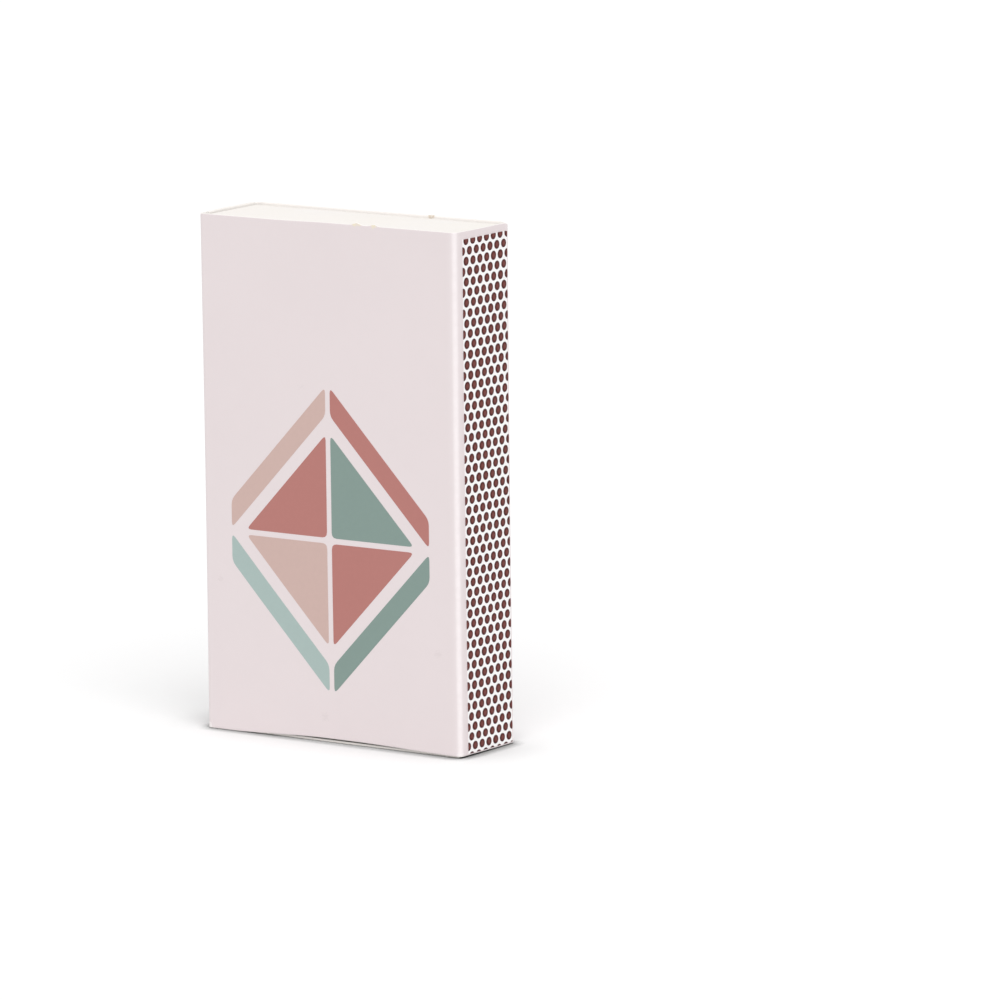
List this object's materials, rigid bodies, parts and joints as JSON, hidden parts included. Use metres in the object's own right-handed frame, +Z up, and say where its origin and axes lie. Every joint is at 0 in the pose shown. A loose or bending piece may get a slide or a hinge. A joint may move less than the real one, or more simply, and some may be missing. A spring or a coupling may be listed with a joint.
{
  "type": "matchbox",
  "caption": "Card matchbox standing on its end: printed sleeve with a striker strip on each narrow side, sliding tray, long wooden matches.",
  "frame": {"origin": "Middle of the sleeve's base, on the surface that the box stands on.", "axes": "+X to the right along the printed front, +Y from the front to the back, +Z up along the length of the box, which is the way the tray slides out."},
  "size_m": [0.0654, 0.02, 0.11],
  "materials": {
    "sleeve_card": "pale pink printed card, matt with a slight sheen, white at the cut edges",
    "tray_card": "plain warm white card, matt",
    "striker_coat": "gritty dark red-brown friction coat in round dots on a white ground",
    "ink_terracotta": "flat terracotta ink on card",
    "ink_sage": "flat sage green ink on card",
    "ink_mint": "flat pale mint ink on card",
    "ink_blush": "flat blush ink on card",
    "match_wood": "pale aspen sticks with a matt white dipped head"
  },
  "bodies": {
    "sleeve": {"print_bar_lower_left": "ink_mint", "print_bar_lower_right": "ink_sage", "print_bar_upper_left": "ink_blush", "print_bar_upper_right": "ink_terracotta", "print_diamond_lower_left": "ink_blush", "print_diamond_lower_right": "ink_terracotta", "print_diamond_upper_left": "ink_terracotta", "print_diamond_upper_right": "ink_sage", "sleeve": "sleeve_card", "striker_left": "striker_coat", "striker_right": "striker_coat"},
    "tray": {"match_01": "match_wood", "match_02": "match_wood", "match_03": "match_wood", "match_04": "match_wood", "match_05": "match_wood", "match_06": "match_wood", "match_07": "match_wood", "match_08": "match_wood", "match_09": "match_wood", "match_10": "match_wood", "match_11": "match_wood", "match_12": "match_wood", "match_13": "match_wood", "match_14": "match_wood", "match_15": "match_wood", "match_16": "match_wood", "match_17": "match_wood", "match_18": "match_wood", "match_19": "match_wood", "match_20": "match_wood", "match_21": "match_wood", "match_22": "match_wood", "match_23": "match_wood", "match_24": "match_wood", "match_25": "match_wood", "match_26": "match_wood", "match_27": "match_wood", "match_28": "match_wood", "match_29": "match_wood", "match_30": "match_wood", "match_31": "match_wood", "match_32": "match_wood", "match_33": "match_wood", "match_34": "match_wood", "match_35": "match_wood", "match_36": "match_wood", "match_37": "match_wood", "match_38": "match_wood", "match_39": "match_wood", "match_40": "match_wood", "match_41": "match_wood", "match_42": "match_wood", "match_43": "match_wood", "match_44": "match_wood", "tray": "tray_card"}
  },
  "joints": [
    {"name": "tray_slide", "type": "slide", "parent": "sleeve", "child": "tray", "axis": [0, 0, 1], "range_m": [0, 0.085]}
  ]
}
